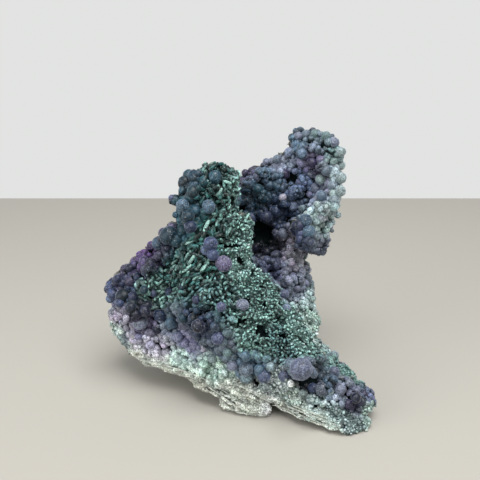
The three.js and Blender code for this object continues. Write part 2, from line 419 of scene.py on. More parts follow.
# %% [markdown]
# ## Packing
#
# Bunches, grapes, sprigs and crystals are all packed in the same way. Places are tried one after another
# at random, and one that lies too near an earlier one is dropped.

# %% Keep what lands apart
CELL = 4 * MM


class Ground:
    """Remembers what has landed, so that nothing lands on top of it."""

    def __init__(self, cell=CELL):
        self.cells = {}
        self.side = cell

    def cell(self, place):
        return int(place[0] // self.side), int(place[1] // self.side), int(place[2] // self.side)

    def free(self, place, radius, spacing):
        x, y, z = self.cell(place)
        for i in (x - 1, x, x + 1):
            for j in (y - 1, y, y + 1):
                for k in (z - 1, z, z + 1):
                    for other, size in self.cells.get((i, j, k), ()):
                        gap = (radius + size) * spacing
                        dx, dy, dz = place[0] - other[0], place[1] - other[1], place[2] - other[2]
                        if dx * dx + dy * dy + dz * dz < gap * gap:
                            return False
        return True

    def put(self, place, radius):
        self.cells.setdefault(self.cell(place), []).append((place, radius))

    def throw(self, places, radii, spacing):
        landed = []
        for index, (place, radius) in enumerate(zip(places, radii)):
            if self.free(place, radius, spacing):
                self.put(place, radius)
                landed.append(index)
        return np.array(landed, int)


# %% [markdown]
# ## Relief
#
# Where grapes grow, the crust is pulled in to make room for them and swells into bunches: each bunch is a
# dome, and the valleys between the domes stay dark. Where it is broken, its layers show: the stone grew in
# thin sheets that dip to the right, so the height along the dip says which sheet a point belongs to, and
# each sheet breaks off a little further out or in than the next.

# %% Where the crust is broken
UNDERSIDE = -0.38
BACK = 0.55
BORDER = 0.12
RAGGED_BORDER = ((0.14, 5 * MM, 1), (0.08, 2 * MM, 2))

at = points_of(crust.data)
facing = points_of(crust.data, "normal")
nature = nature_of(at)
ragged = sum(amount * waves(at, size, seed) for amount, size, seed in RAGGED_BORDER)
under = (UNDERSIDE - facing[:, 2] + ragged) / BORDER
behind = (facing[:, 1] - BACK + ragged) / BORDER
by_facing = np.clip(np.maximum(under, behind) + 0.5, 0, 1)
by_patch = np.clip((nature["broken"] - 0.5) / BORDER + 0.5, 0, 1)
broken = np.maximum(by_facing, by_patch)
nature["broken"] = broken
nature["rim"] = by_patch
print("broken share of the crust:", round(float(broken.mean()), 2))

# %% The brownish matrix that shows behind
MATRIX_SHARE = 0.75
MATRIX_BROWN = 0.5
MATRIX_SIZE = 14 * MM
TURNS_BACK = 0.3
TURNED_BACK = 0.6

turned_back = climb(facing[:, 1], TURNS_BACK, TURNED_BACK - TURNS_BACK) * broken
matrix_brown = MATRIX_BROWN * cloud(at, MATRIX_SIZE, 23)[:, None]
matrix = mix(PALETTE["stone"], PALETTE["matrix_brown"], matrix_brown)
nature["colour"] = mix(nature["colour"], matrix, MATRIX_SHARE * turned_back[:, None])

# %% Bunches
BUNCH_RADIUS = (2.2 * MM, 4.2 * MM)
BUNCH_SHRINKS = {"sprigs": 0.75, "druse": 0.7}
BUNCH_SPACING = 0.78
BUNCH_TRIES = 9000
BUNCH_SUNK = 0.62
BATCH = 4000

tried = random.permutation(len(at))[:BUNCH_TRIES]
bunch_radius = random.uniform(*BUNCH_RADIUS, BUNCH_TRIES)
for growth, shrink in BUNCH_SHRINKS.items():
    bunch_radius[nature[growth][tried] > 0.5] *= shrink
landed = Ground().throw(at[tried], bunch_radius, BUNCH_SPACING)
bunch_at, bunch_radius = at[tried][landed], bunch_radius[landed]
dome = np.empty(len(at))
for start in range(0, len(at), BATCH):
    part = slice(start, start + BATCH)
    away = np.linalg.norm(at[part, None, :] - bunch_at[None, :, :], axis=2) / bunch_radius[None, :]
    height = (np.sqrt(np.clip(1 - away**2, 0, 1)) - BUNCH_SUNK) * bunch_radius[None, :]
    dome[part] = height.max(axis=1)
print(len(bunch_at), "bunches")

# %% The dark pits that the photograph shows
SEEN_PITS = [
    ((320, 144), 5), ((308, 141), 2.5), ((271, 172), 2.5), ((291, 177), 5.5), ((330, 163), 3),
    ((303, 199), 5.5), ((324, 211), 3), ((331, 219), 3), ((267, 201), 2.5), ((258, 226), 7),
    ((268, 236), 8), ((256, 240), 6), ((214, 170), 2.5), ((221, 184), 2.5), ((240, 207), 4),
    ((217, 230), 2.5), ((194, 237), 2.5), ((199, 249), 2.5), ((185, 253), 4), ((197, 243), 2),
    ((212, 278), 2.5), ((229, 266), 3), ((240, 261), 2.5), ((196, 315), 6.5), ((190, 323), 6),
    ((207, 312), 3), ((240, 322), 3), ((162, 270), 2.5), ((204, 303), 2), ((195, 266), 2.5),
    ((151, 319), 4.5), ((145, 300), 2.5), ((191, 353), 2.5), ((201, 290), 2), ((206, 276), 2.5),
    ((221, 264), 2), ((305, 381), 7), ((313, 379), 6), ((318, 374), 5), ((338, 367), 3),
    ((315, 408), 3), ((287, 357), 2.5), ((344, 426), 2.5), ((274, 358), 2.5), ((268, 331), 2),
    ((256, 343), 2.5), ((278, 318), 2), ((230, 330), 2.5),
]
PIT_REACH = 1.6


def marked(marks, pixel, pixels, reach):
    """Adds to the marks a round one at a pixel, which ends softly at reach times its size in pixels."""
    place, _ = seat(smooth_tree, pixel)
    away = np.linalg.norm(at - np.array(place), axis=1) / pixels_to_length(pixels, place)
    return np.maximum(marks, np.clip(reach - away, 0, 1))


seen_pits = np.zeros(len(at))
for pixel, pixels in SEEN_PITS:
    seen_pits = marked(seen_pits, pixel, pixels, PIT_REACH)
print("points in a pit:", int((seen_pits > 0.5).sum()))

# %% The crevices of the broken ledge
CREVICES = [
    [(236, 386), (246, 391), (256, 397), (264, 402), (272, 405)],
    [(206, 388), (216, 392), (226, 398), (236, 405)],
    [(216, 389), (226, 392), (236, 397), (242, 402)],
    [(274, 404), (290, 410), (306, 417), (322, 423)],
]
CREVICE_STEP = 1.5
CREVICE_PIXELS = 1.3
CREVICE_REACH = 1.5


def along_line(line, step):
    """Pixels a short step apart all along a line of the photograph."""
    pixels = []
    for (x0, y0), (x1, y1) in zip(line, line[1:]):
        steps = max(int(math.hypot(x1 - x0, y1 - y0) / step), 1)
        pixels += [(x0 + (x1 - x0) * i / steps, y0 + (y1 - y0) * i / steps) for i in range(steps)]
    return pixels + [line[-1]]


crevice = np.zeros(len(at))
for line in CREVICES:
    for pixel in along_line(line, CREVICE_STEP):
        crevice = marked(crevice, pixel, CREVICE_PIXELS, CREVICE_REACH)
nature["crevice"] = crevice
print("points in a crevice:", int((crevice > 0.5).sum()))

# %% Pits, and room for what grows
ROOM_FOR_GRAPES = 1.3 * MM
LESS_ROOM = {"druse": 0.7, "sprigs": 0.4}
PIT_SIZE = 3.6 * MM
PITS_FROM = 0.3
PITS_AMONG_SPRIGS = 0.08
PIT_EDGE = 0.12

pit_noise = waves(at, PIT_SIZE, 8) + PITS_AMONG_SPRIGS * nature["sprigs"]
# Pits are sunk into the crust, and their darkness is painted shade in its colour.
pits = np.maximum(climb(pit_noise, PITS_FROM, PIT_EDGE), seen_pits) * (1 - broken)
nature["pits"] = pits
room = ROOM_FOR_GRAPES * (1 - sum(less * nature[growth] for growth, less in LESS_ROOM.items()))
print("share of the crust in pits:", round(float(pits.mean()), 3))

# %% Broken layers
LAYER_PITCH = 1.35 * MM
LAYER_DIP = -0.2
LAYER_RELIEF = 0.9 * MM
RIM_WAVER = 0.7 * MM
BACK_WAVER = 1.9 * MM
WAVER_SIZE = 11 * MM
SHEETS_APART = 40 * MM
SHEET_SIZE = 4 * MM
UNEVEN_SHEETS = 1.3
SHEET_EDGES = 0.8
BACK_EDGES = 0.4

layer_waver = mix(BACK_WAVER, RIM_WAVER, by_patch) * waves(at, WAVER_SIZE, 5)
layer_height = (at[:, 2] - LAYER_DIP * at[:, 0] + layer_waver) / LAYER_PITCH
sheet = np.floor(layer_height)
sheet_noise = waves(np.column_stack([at[:, :2], sheet * SHEETS_APART]), SHEET_SIZE, 6)
edge = SHEET_EDGES * (0.5 - 2 * np.abs(layer_height - sheet - 0.5)) * mix(BACK_EDGES, 1, by_patch)
layers = LAYER_RELIEF * (UNEVEN_SHEETS * sheet_noise + edge)
print("sheets from", int(sheet.min()), "to", int(sheet.max()))

# %% Lift the crust
HILL_SIZE = 9 * MM
HILLS_GROWN = 0.72 * MM
HILLS_BROKEN = 0.48 * MM
GRAIN_SIZE = 1.1 * MM
GRAIN = 0.25 * MM
PIT_DEPTH = 2.6 * MM
CREVICE_DEPTH = 1.4 * MM
DEEPEST_CUT = 0.25
JUST_INSIDE = 0.05 * MM
NO_WALL = 1.0
FLAT_UP_TO = 1.2 * MM

hills = waves(at, HILL_SIZE, 3)
grown_lift = HILLS_GROWN * hills + dome - room - PIT_DEPTH * pits
broken_lift = HILLS_BROKEN * hills + layers + GRAIN * waves(at, GRAIN_SIZE, 7)
lift = mix(grown_lift, broken_lift, broken) - CREVICE_DEPTH * crevice
inwards = [(Vector(place - JUST_INSIDE * out), Vector(-out)) for place, out in zip(at, facing)]
thickness = np.array([smooth_tree.ray_cast(start, way)[3] or NO_WALL for start, way in inwards])
lift = np.maximum(lift, -DEEPEST_CUT * thickness)
lift[at[:, 2] < FLAT_UP_TO] = 0
move_to(crust.data, at + facing * lift[:, None])
crust.data.shade_smooth()
crust_tree = tree_of(crust)
print("lift in mm from", round(float(lift.min()) / MM, 1), "to", round(float(lift.max()) / MM, 1))

# %% Paint the crust
# Painted shade: the crust between the grapes is painted near black, and less so where the stone is pale.
GAP_PAINTED_SHADE = PALETTE["deep_teal"] * 0.35
GAP_SHADE_FADES = 0.6
PALE_FROM = 0.12
PALE_TO = 0.45
SHOWS_LEAST = 0.04
SHOWS_IN_DRUSE = 0.2
SHOWS_WHERE_PALE = 0.45
TONE_STEP = 2.4
TONE_DRIFT = 2
BACK_DARKEST = 0.3
RIM_DARKEST = 0.55
BRIGHTEST = 1.1
STAIN = 0.5
STAIN_SIZE = 5 * MM
STAIN_FROM = 0.35
STAIN_EDGE = 0.2
CREVICE_PAINTED_SHADE = 0.85


def paleness(colours):
    """How pale a colour is, from 0 to 1. Light fills the gaps between pale grapes, so they aren't dark."""
    return climb(colours.mean(axis=1, keepdims=True), PALE_FROM, PALE_TO - PALE_FROM)


def paint(mesh, name, colours):
    layer = mesh.color_attributes.new(name, "FLOAT_COLOR", "POINT")
    colours = np.column_stack([colours, np.ones(len(colours))])
    layer.data.foreach_set("color", colours.astype(np.float32).ravel())


layer_tone = 0.5 + 0.5 * np.sin(sheet * TONE_STEP + TONE_DRIFT * sheet_noise)
darkest = mix(BACK_DARKEST, RIM_DARKEST, by_patch)
broken_colour = nature["colour"] * mix(darkest, BRIGHTEST, layer_tone)[:, None]
stain = STAIN * climb(waves(at, STAIN_SIZE, 22), STAIN_FROM, STAIN_EDGE) * by_patch
broken_colour = mix(broken_colour, PALETTE["matrix_brown"], stain[:, None])
pale = paleness(nature["colour"])
shows = SHOWS_LEAST + SHOWS_IN_DRUSE * nature["druse"][:, None] + SHOWS_WHERE_PALE * pale
# The grown crust is painted shade with a little of the patch colour showing through it; pits get the
# painted shade alone.
grown_colour_and_painted_shade = GAP_PAINTED_SHADE * (1 - GAP_SHADE_FADES * pale) + nature["colour"] * shows * (1 - pits[:, None])
# The crevices of the broken ledge are darkened in the colour as painted shade.
crust_colour_and_painted_shade = mix(grown_colour_and_painted_shade, broken_colour, broken[:, None]) * (1 - CREVICE_PAINTED_SHADE * crevice[:, None])
paint(crust.data, "tint", crust_colour_and_painted_shade)

# %% [markdown]
# ## Strewing
#
# A grape and a sprig are each modelled once. Copies are then thrown like darts at the crust: a dart that
# lands too near an earlier one is thrown away, so the grapes end up packed but not stacked. The copies of
# a region are joined in one mesh, and each point keeps its own colour, with painted shade making it darker
# towards the crust and a painted highlight in a paler band just above.

# %% Sample the crust
crust.data.calc_loop_triangles()
triangles = np.empty(len(crust.data.loop_triangles) * 3, int)
crust.data.loop_triangles.foreach_get("vertices", triangles)
triangles = triangles.reshape(-1, 3)
crust_at = points_of(crust.data)
crust_facing = points_of(crust.data, "normal")
corners = crust_at[triangles]
areas = np.linalg.norm(np.cross(corners[:, 1] - corners[:, 0], corners[:, 2] - corners[:, 0]), axis=1) / 2
area_so_far = np.cumsum(areas)
print("crust area in square cm:", round(area_so_far[-1] / (10 * MM) ** 2, 1))


class Darts:
    """Random places all over the crust, with what is known of the crust there."""

    def __init__(self, count):
        picked = np.searchsorted(area_so_far, random.random(count) * area_so_far[-1])
        first, second = random.random((2, count, 1))
        folded = first + second > 1
        first, second = np.where(folded, 1 - first, first), np.where(folded, 1 - second, second)
        weights = np.stack([1 - first - second, first, second], axis=1)
        corner = triangles[picked]
        self.at = (crust_at[corner] * weights).sum(axis=1)
        out = (facing[corner] * weights).sum(axis=1) + (crust_facing[corner] * weights).sum(axis=1)
        self.out = unit(out)
        self.colour = (nature["colour"][corner] * weights).sum(axis=1)
        self.tint = (crust_colour_and_painted_shade[corner] * weights).sum(axis=1)
        for name in ("size", "pits", "crevice", "rim", *GROWTHS):
            setattr(self, name, (nature[name][corner] * weights[:, :, 0]).sum(axis=1))

    def keep(self, which):
        for name in vars(self):
            setattr(self, name, getattr(self, name)[which])
        return self


RAGGED = 0.13


def mostly(share):
    """Picks where a growth has more than about half, with a ragged border."""
    return share + random.normal(0, RAGGED, len(share)) > 0.5


# %% Turn the copies of a model
NEARLY_UPRIGHT = 0.9


def turned_to(normals):
    """For each normal, a turn that stands a model's Z axis along it and spins the model at random."""
    spin = random.random(len(normals)) * 2 * math.pi
    helper = np.where(np.abs(normals[:, 2:]) > NEARLY_UPRIGHT, [[1.0, 0, 0]], [[0, 0, 1.0]])
    side = unit(np.cross(helper, normals))
    other = np.cross(normals, side)
    across = side * np.cos(spin)[:, None] + other * np.sin(spin)[:, None]
    along = np.cross(normals, across)
    return np.stack([across, along, normals], axis=2)


# %% Join the copies of a model
FOOT = 0.55
FOOT_STARTS = -0.1
PAINTED_HIGHLIGHT_HEIGHT = 0.5
PAINTED_HIGHLIGHT_WIDTH = 0.3


def strew(name, model, spots, normals, sizes, low, top, level, painted_highlight=0.0, foot=FOOT, smooth=True):
    """Joins a copy of the model at each spot. low and top are the colours of its foot and its tip, and the
    foot is painted darker as shade. level is the height on the model at which it leaves the crust, foot how
    far up the low colour fades, and the argument after level how much paler a band just above it is
    painted, as a highlight."""
    points = points_of(model.data)
    faces = np.array([polygon.vertices for polygon in model.data.polygons])
    scaled = points[None, :, :] * sizes[:, None, :]
    placed = np.einsum("nij,nvj->nvi", turned_to(normals), scaled) + spots[:, None, :]
    placed[:, :, 2] = np.maximum(placed[:, :, 2], 0)
    above = points[None, :, 2] - np.broadcast_to(level, len(spots))[:, None]
    # Painted shade fades from the foot up, and a band just above the level is painted paler as a highlight.
    rise = climb(above, FOOT_STARTS, foot)[:, :, None]
    glow = 1 + painted_highlight * np.exp(-(((above - PAINTED_HIGHLIGHT_HEIGHT) / PAINTED_HIGHLIGHT_WIDTH) ** 2))[:, :, None]
    tint = mix(low[:, None, :], top[:, None, :], rise) * glow
    count = len(spots)
    mesh = bpy.data.meshes.new(name)
    mesh.vertices.add(count * len(points))
    mesh.vertices.foreach_set("co", placed.astype(np.float32).ravel())
    indices = (faces[None, :, :] + (np.arange(count) * len(points))[:, None, None]).ravel()
    mesh.loops.add(len(indices))
    mesh.loops.foreach_set("vertex_index", indices.astype(np.int32))
    mesh.polygons.add(count * len(faces))
    mesh.polygons.foreach_set("loop_start", np.arange(0, len(indices), 3, dtype=np.int32))
    mesh.update(calc_edges=True)
    if smooth:
        mesh.shade_smooth()
    paint(mesh, "tint", tint.reshape(-1, 3))
    return add_object(name, mesh)


# %% [markdown]
# ## The models that are repeated
#
# A grape is a ball whose points are nudged at random, because no real one is perfectly round. A sprig is
# a six-sided rod with domed ends. Both have few faces, because each is repeated thousands of times.

# %% One grape
def model_grape(name, detail, unevenness, seed):
    grape = start_from(bpy.ops.mesh.primitive_ico_sphere_add, name, subdivisions=detail, radius=1)
    in_edit_mode(grape)
    bpy.ops.transform.vertex_random(offset=unevenness, seed=seed)
    out_of_edit_mode()
    return grape


small_grape = model_grape("small_grape", 2, 0.09, 3)
large_grape = model_grape("large_grape", 3, 0.06, 5)
rough_grape = model_grape("rough_grape", 4, 0.045, 6)

# %% One sprig
sprig = start_from(bpy.ops.mesh.primitive_cylinder_add, "sprig", vertices=6, radius=0.95, depth=1.2)
in_edit_mode(sprig)
bpy.ops.mesh.select_all(action="DESELECT")
bpy.ops.mesh.select_mode(type="FACE")
bpy.ops.mesh.select_face_by_sides(number=6)
bpy.ops.mesh.inset(thickness=0.35, depth=0.35)
bpy.ops.mesh.poke(offset=0.1)
bpy.ops.mesh.select_all(action="SELECT")
bpy.ops.mesh.quads_convert_to_tris()
bpy.ops.transform.vertex_random(offset=0.1, seed=8)
bpy.ops.mesh.normals_make_consistent(inside=False)
out_of_edit_mode()

# %% One crystal and one flake
crystal = model_grape("crystal", 1, 0.15, 9)
flake = start_from(bpy.ops.mesh.primitive_cylinder_add, "flake", vertices=7, radius=1, depth=1)
in_edit_mode(flake)
bpy.ops.mesh.quads_convert_to_tris()
bpy.ops.transform.vertex_random(offset=0.25, seed=12)
bpy.ops.mesh.normals_make_consistent(inside=False)
out_of_edit_mode()
models = (small_grape, large_grape, rough_grape, sprig, crystal, flake)
print("faces:", {model.name: len(model.data.polygons) for model in models})

# %% [markdown]
# ## Finishes
#
# Chalcedony is waxy and a little translucent, and each grape has a coat of crystals too small to see one
# by one. They make its edge paler than its middle, and here and there a white glint from one of them is
# painted into its colour.

# %% One finish for everything that grew
MOTTLE_SCALE = 520
COAT_SCALE = 2300
GLINT_SCALE = 1500
REFRACTION = 1.54


def chalcedony(
    name, frost_colour, frost, painted_glints, sheen, roughness=0.4, glow=0.25, gloss=0.35, coarse=0.15
):
    """Each point's own tint under a fine coat, with white glints painted into it. frost is how strong the
    coat is, and the next argument how bright the painted glints are.
    """
    material = bpy.data.materials.new(name)
    material.use_nodes = True
    nodes = material.node_tree.nodes
    links = material.node_tree.links
    shader = nodes["Principled BSDF"]
    place = nodes.new("ShaderNodeTexCoord").outputs["Object"]

    def texture(kind, scale, **settings):
        node = nodes.new(kind)
        node.inputs["Scale"].default_value = scale
        for key, value in settings.items():
            node.inputs[key].default_value = value
        links.new(place, node.inputs["Vector"])
        return node

    def ranged(source, low, high, to_low=0.0, to_high=1.0):
        node = nodes.new("ShaderNodeMapRange")
        links.new(source, node.inputs["Value"])
        for key, value in zip(("From Min", "From Max", "To Min", "To Max"), (low, high, to_low, to_high)):
            node.inputs[key].default_value = value
        return node.outputs["Result"]

    def mixed(share, first, second, blend="MIX"):
        node = nodes.new("ShaderNodeMix")
        node.data_type = "RGBA"
        node.blend_type = blend
        node.clamp_result = False
        for source, socket in ((share, 0), (first, 6), (second, 7)):
            if isinstance(source, bpy.types.NodeSocket):
                links.new(source, node.inputs[socket])
            else:
                node.inputs[socket].default_value = source
        return node.outputs[2]

    tint = nodes.new("ShaderNodeAttribute")
    tint.attribute_name = "tint"
    mottle = texture("ShaderNodeTexNoise", MOTTLE_SCALE, Detail=3.0)
    tone = ranged(mottle.outputs["Fac"], 0.3, 0.7, 0.72, 1.28)
    toned = mixed(1.0, tint.outputs["Color"], tone, "MULTIPLY")
    crystals = texture("ShaderNodeTexNoise", COAT_SCALE, Detail=2.0)
    coat = ranged(crystals.outputs["Fac"], 0.38, 0.66, 1.0 - 0.6 * frost, 1.0 + 1.2 * frost)
    frosted = mixed(1.0, toned, coat, "MULTIPLY")
    # Painted glints: near-white specks mixed into the base colour in small cells.
    glint_cells = texture("ShaderNodeTexVoronoi", GLINT_SCALE)
    glint_strength = ranged(glint_cells.outputs["Distance"], 0.16, 0.08, 0.0, painted_glints)
    links.new(mixed(glint_strength, frosted, (0.95, 0.97, 1.0, 1)), shader.inputs["Base Color"])
    bump = nodes.new("ShaderNodeBump")
    bump.inputs["Strength"].default_value = 0.6
    bump.inputs["Distance"].default_value = coarse * MM
    links.new(crystals.outputs["Fac"], bump.inputs["Height"])
    links.new(bump.outputs["Normal"], shader.inputs["Normal"])
    shader.inputs["Roughness"].default_value = roughness
    shader.inputs["IOR"].default_value = REFRACTION
    shader.inputs["Specular IOR Level"].default_value = gloss
    shader.inputs["Sheen Weight"].default_value = sheen
    shader.inputs["Sheen Roughness"].default_value = 0.3
    shader.inputs["Sheen Tint"].default_value = (*frost_colour, 1)
    shader.inputs["Subsurface Weight"].default_value = glow
    shader.inputs["Subsurface Radius"].default_value = (1, 1, 1)
    shader.inputs["Subsurface Scale"].default_value = 0.7 * MM
    return material


purple_skin = chalcedony("purple_chalcedony", (0.6, 0.64, 0.75), 0.8, 0.4, 0.6)
drusy_skin = chalcedony("drusy_purple_chalcedony", (0.6, 0.64, 0.75), 1.0, 1.0, 0.6, coarse=0.3)
green_skin = chalcedony("green_chalcedony", (0.5, 0.78, 0.7), 0.8, 0.6, 0.5)
crystal_skin = chalcedony("crystal_coat", (0.8, 0.84, 0.82), 0.4, 0.5, 0.1, 0.3)
crust_skin = chalcedony("crust_stone", (0.7, 0.74, 0.7), 0.9, 0.0, 0.0, 0.8, 0.0, 0.1)
finish_piece(crust, crust_skin)

# %% [markdown]
# ## Single grapes
#
# Some grapes are large enough to know one by one. They are placed first, so that the others grow around
# them, each where its pixel's line of sight meets the crust. A line of sight that only brushes a peak
# would leave the grape hanging, so each is pushed in until the crust holds it.

# %% The grapes that stand out
SINGLE_GRAPES = [
    ((214.7, 177.4), 6.9, "blue_teal"), ((208.6, 206.5), 6.9, "blue_slate"),
    ((182.5, 205.3), 6.6, "blue_slate"), ((171.8, 198), 3.6, "slate_purple"),
    ((187.9, 216.4), 6.5, "blue_black"), ((189, 175), 6.2, "blue_teal"), ((190.5, 227), 6.2, "navy"),
    ((171.8, 226.5), 4, "mauve"), ((168.8, 235.3), 9.5, "blue_black"), ((176, 239.5), 7.5, "blue_teal"),
    ((158.5, 242.8), 7, "storm"), ((210.7, 243.8), 7, "indigo"), ((213, 255), 6, "indigo"),
    ((223.7, 263.7), 8, "mauve"), ((206, 250), 5, "slate"), ((252, 217.5), 5.8, "indigo"),
    ((221, 306.6), 5.2, "slate_purple"), ((242.4, 305), 6.3, "mauve_grey"),
    ((218, 338), 7, "slate_purple"), ((130.6, 281.2), 5.8, "plum"), ((122.5, 288), 5, "plum"),
    ((108.8, 298.8), 4.8, "slate"), ((119.5, 303.4), 4.2, "indigo"), ((140, 321.8), 8, "mauve_grey"),
    ((160, 315.6), 6.5, "navy"), ((157.7, 328.6), 5.2, "ink"), ((171, 323), 6.2, "blue_slate"),
    ((183, 318), 5.6, "blue_black"), ((198.5, 327), 6.6, "ink"), ((283.8, 294.3), 5.2, "slate_purple"),
    ((286.4, 308), 4, "blue_lavender"), ((284, 266), 3.6, "blue_lavender"),
    ((301, 369), 11.5, "grey_slate"), ((284.9, 376.2), 6, "slate_purple"), ((290.7, 383.5), 3.6, "white"),
    ((322.4, 388.9), 7.5, "plum"), ((334, 372), 6, "grey_slate"), ((340, 388.9), 6.2, "mauve_grey"),
    ((333.9, 356), 5.4, "dusk"), ((363.8, 395), 4.6, "plum"), ((282.8, 197.4), 3.8, "ash_lavender"),
    ((293, 206), 4.6, "blue_lavender"), ((323.5, 217.4), 4, "ash_lavender"),
    ((282.8, 233.5), 5.2, "mauve_grey"), ((315.8, 236.3), 4.6, "mauve_grey"),
    ((294.7, 246), 3.8, "pink_lavender"), ((276, 211), 6.5, "navy"), ((266, 217), 6.5, "deep_indigo"),
    ((305, 221), 7, "storm"), ((309, 232), 6.5, "blue_slate"), ((246, 369), 7.5, "dusk"),
    ((264, 377), 6.5, "indigo"), ((298, 136), 4.6, "mauve_grey"), ((306, 134), 4.6, "dusk"),
    ((315, 134), 4.4, "sage"), ((326, 136), 4.8, "sage"), ((334, 142), 5.2, "mauve_grey"),
    ((341, 152), 5.2, "mist"), ((343, 165), 5.4, "pale_sage"), ((341, 178), 6, "mist"),
    ((340, 191), 6, "mist"), ((334, 201), 6.4, "dusk"), ((333, 186), 5.4, "dusk"),
    ((326, 170), 5.8, "dusk"), ((321, 179), 5.6, "pale_sage"), ((316, 188), 5.2, "mauve_grey"),
    ((310, 194), 3.8, "lavender"), ((322, 196), 5.4, "blue_slate"), ((311, 174), 4.6, "mauve_grey"),
    ((300, 183), 5, "slate_purple"), ((302, 162), 5.2, "lavender"), ((312, 163), 5.4, "dark_purple"),
    ((321, 160), 4.6, "mauve"), ((285, 174), 5, "dark_purple"), ((270, 185), 5, "storm"),
    ((258, 189), 5.4, "blue_teal"), ((257, 177), 5, "grey_slate"), ((276, 166), 4.6, "mauve_grey"),
    ((289, 152), 4.6, "blue_lavender"), ((277, 159), 4.2, "dusk"), ((244, 170), 4.2, "plum"),
    ((266, 161), 4, "mauve_grey"), ((170, 292), 5, "navy"), ((196, 300), 4.4, "deep_indigo"),
    ((153, 293), 4, "slate_purple"), ((183, 287), 4, "blue_black"), ((130, 268), 4.6, "ink"),
    ((138, 277), 4.8, "navy"), ((117, 279), 4.4, "deep_indigo"), ((144, 290), 4.6, "blue_black"),
    ((133, 297), 5, "deep_indigo"), ((126, 318), 3.6, "ash_lavender"), ((131, 342), 3.6, "pale_grey"),
    ((121, 331), 3.4, "pale_mint"), ((139, 336), 4, "lavender"), ((150, 334), 4.4, "dark_purple"),
    ((172, 337), 4.6, "mauve_grey"), ((186, 343), 5, "lavender"), ((204, 347), 5.4, "ash_lavender"),
    ((213, 358), 5, "slate_purple"), ((228, 352), 5.4, "sage"), ((232, 366), 5.2, "mauve_grey"),
    ((150, 345), 4.6, "lavender"), ((166, 352), 5, "ash_lavender"), ((180, 360), 5, "mist"),
    ((200, 366), 4.6, "mist"), ((313, 388), 5, "indigo"), ((329, 397), 4.4, "slate"),
    ((348, 404), 5, "plum"), ((356, 398), 5.4, "ink"),
]
print(len(SINGLE_GRAPES), "single grapes")

# %% Seat the single grapes
SUNK = 0.35
CLEAR_OF_SPRIGS = 0.2
DEEPER_WHEN_FUSED = 0.4
HELD = 0.4
PUSH = 0.1
MERGED = 0.5
MERGES_WHERE_PALE = 4


def held(centre, radius):
    """Pushes a grape into the stone until it holds enough of the crust to sit on it, from every side."""
    inwards = -smooth_tree.find_nearest(centre)[1]
    for _ in range(int(1 / PUSH)):
        inside = np.linalg.norm(crust_at - np.array(centre), axis=1) < radius
        if inside.sum() * VOXEL**2 > HELD * math.pi * radius**2:
            break
        centre = centre + inwards * radius * PUSH
    return centre


def seated_grape(pixel, pixels, colour):
    """Where a grape sits, which way it faces, its radius, its colour and how fused it is."""
    place, _ = seat(crust_tree, pixel)
    towards = -sight(pixel)
    radius = pixels_to_length(pixels, place)
    around = nature_of(np.array([place]))
    fused = float(around["fused"][0])
    sunk = SUNK - CLEAR_OF_SPRIGS * float(around["sprigs"][0]) + DEEPER_WHEN_FUSED * fused
    merged = MERGED * fused * min(1.0, MERGES_WHERE_PALE * float(paleness(around["colour"])[0, 0]))
    own_colour = mix(PALETTE[colour], around["colour"][0], merged)
    return held(place + towards * radius * (1 - sunk), radius), towards, radius, own_colour, fused


single_at, single_out, single_radius, single_colour, single_fused = map(
    np.array, zip(*(seated_grape(*grape) for grape in SINGLE_GRAPES))
)


def ground_with_singles():
    """Ground on which only the single grapes have landed."""
    ground = Ground()
    for place, radius in zip(single_at, single_radius):
        ground.put(place, radius)
    return ground


# %% Join the single grapes
ROUGH_FROM = 6.5
SINGLE_PAINTED_HIGHLIGHT = 0.4
SINGLE_LEVEL = -0.3
SINGLE_STRETCH = (0.92, 1.08)
SINGLE_PAINTED_FOOT_SHADE = 0.2
FUSED_PAINTED_FOOT_SHADE = 0.4

# Painted shade: each single grape's foot is a darker share of its colour, and a paler band above it is a
# painted highlight.
single_painted_foot = single_colour * (SINGLE_PAINTED_FOOT_SHADE + FUSED_PAINTED_FOOT_SHADE * single_fused[:, None])
single_sizes = single_radius[:, None] * random.uniform(*SINGLE_STRETCH, (len(single_at), 3))
is_rough = np.array([pixels >= ROUGH_FROM for _, pixels, _ in SINGLE_GRAPES])
for name, model, which, skin in (
    ("single_grapes", large_grape, ~is_rough, purple_skin),
    ("largest_grapes", rough_grape, is_rough, drusy_skin),
):
    piece = strew(
        name, model, single_at[which], single_out[which], single_sizes[which],
        single_painted_foot[which], single_colour[which], SINGLE_LEVEL, SINGLE_PAINTED_HIGHLIGHT,
    )
    finish_piece(piece, skin)

# %% [markdown]
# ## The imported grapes
#
# Large darts are thrown first and small ones last, so the small grapes fill the gaps as they do in the
# stone. A last, sparse throw lands higher, on top of the others, and gives the clusters their heads.

# %% Throw the grapes
SIZE_STEPS = ((6000, 1.1, 1.4), (24000, 0.75, 1.05), (36000, 0.42, 0.65))
SPACING = 0.6
LOWEST = 1.6 * MM
FUSED_SIZE = 1.2
FUSED_SUNK = 0.6
SMALL_SUNK = 1.6
HIGHEST_LIFT = 0.4
FUSED_OVERLAP = 0.25

grape_ground = ground_with_singles()
grape_darts = []
for throws, least, most in SIZE_STEPS:
    darts = Darts(throws)
    darts.keep((darts.broken < 0.5) & (darts.at[:, 2] > LOWEST) & (darts.pits < 0.45))
    darts.keep(mostly(darts.grapes + darts.fused))
    darts.radius = darts.size * MM * random.uniform(least, most, len(darts.at))
    darts.radius *= 1 + (FUSED_SIZE - 1) * darts.fused
    sunk = FUSED_SUNK * darts.fused * (SMALL_SUNK if most < 1 else 1)
    darts.lift = darts.radius * (random.uniform(0, HIGHEST_LIFT, len(darts.at)) - sunk)
    kept_clear = darts.radius * (1 - FUSED_OVERLAP * darts.fused)
    grape_darts.append(darts.keep(grape_ground.throw(darts.at, kept_clear, SPACING)))
    print(len(darts.at), "grapes of", throws, "throws")

